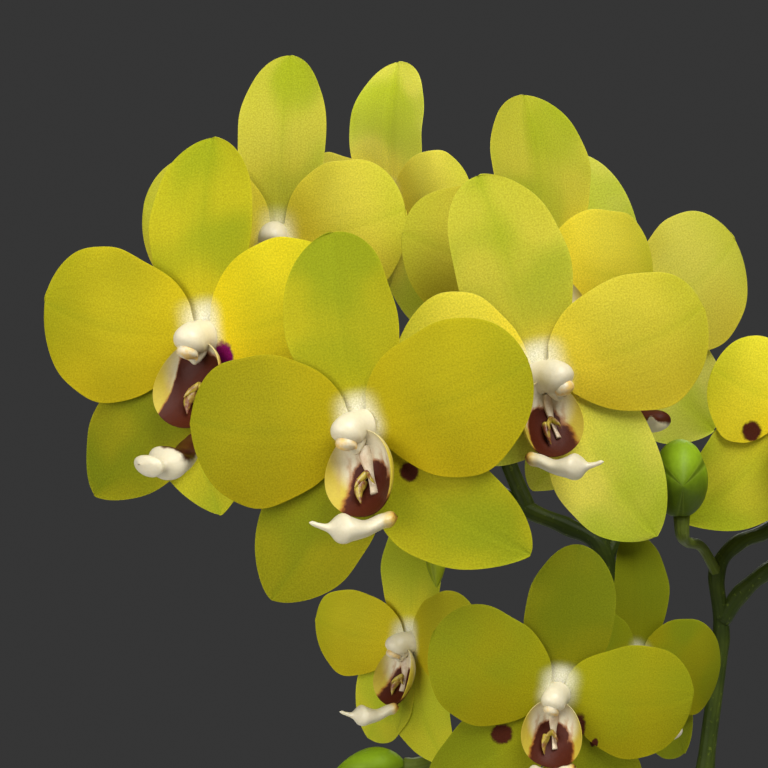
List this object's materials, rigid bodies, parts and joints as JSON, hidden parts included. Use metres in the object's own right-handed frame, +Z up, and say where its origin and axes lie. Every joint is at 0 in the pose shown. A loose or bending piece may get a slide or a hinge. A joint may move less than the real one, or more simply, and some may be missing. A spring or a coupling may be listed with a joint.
{
  "type": "potted orchid",
  "caption": "Moth orchid in a plain round pot: strap leaves, aerial roots and two branched spikes of yellow-green flowers with maroon lips, and buds.",
  "frame": {"origin": "centre of the pot's flat foot, on the surface it stands on", "axes": "+Z up; -Y is the front, which the nearest flowers face; +X is the viewer's right"},
  "size_m": [0.4194, 0.1761, 0.4802],
  "materials": {
    "pot": "plain satin glaze, off-white",
    "bark": "loose chipped bark, dry and rough",
    "crown": "green plant tissue, waxy",
    "leaf": "thick waxy leaf, dark green, low gloss",
    "root": "silvery-green spongy root skin",
    "spike": "dark green flower stalk, waxy",
    "bud": "fresh green bud, waxy",
    "sepal": "yellow-green sepal, soft and slightly translucent",
    "petal": "yellow petal, soft and slightly translucent",
    "lip": "fleshy lip: maroon bowl, yellow edge, white midlobe",
    "column": "fleshy white column"
  },
  "bodies": {
    "root": {"pot": "pot", "bark": "bark", "crown": "crown", "leaf_right_low": "leaf", "leaf_left_low": "leaf", "leaf_right_high": "leaf", "leaf_left_high": "leaf", "leaf_young": "leaf", "root_over_rim": "root", "root_on_bark": "root", "spike_left": "spike", "spike_right": "spike", "bud_plump": "bud", "bud_lying": "bud", "bud_small": "bud", "bud_end": "bud", "flower_c_sepals": "sepal", "flower_c_petals": "petal", "flower_c_lip": "lip", "flower_c_column": "column", "flower_a_sepals": "sepal", "flower_a_petals": "petal", "flower_a_lip": "lip", "flower_a_column": "column", "flower_b_sepals": "sepal", "flower_b_petals": "petal", "flower_b_lip": "lip", "flower_b_column": "column", "flower_d_sepals": "sepal", "flower_d_petals": "petal", "flower_d_lip": "lip", "flower_d_column": "column", "flower_e_sepals": "sepal", "flower_e_petals": "petal", "flower_e_lip": "lip", "flower_e_column": "column", "flower_f_sepals": "sepal", "flower_f_petals": "petal", "flower_f_lip": "lip", "flower_f_column": "column", "flower_g_sepals": "sepal", "flower_g_petals": "petal", "flower_g_lip": "lip", "flower_g_column": "column", "flower_h_sepals": "sepal", "flower_h_petals": "petal", "flower_h_lip": "lip", "flower_h_column": "column", "flower_j_sepals": "sepal", "flower_j_petals": "petal", "flower_j_lip": "lip", "flower_j_column": "column", "flower_k_sepals": "sepal", "flower_k_petals": "petal", "flower_k_lip": "lip", "flower_k_column": "column", "flower_l_sepals": "sepal", "flower_l_petals": "petal", "flower_l_lip": "lip", "flower_l_column": "column"}
  },
  "joints": []
}
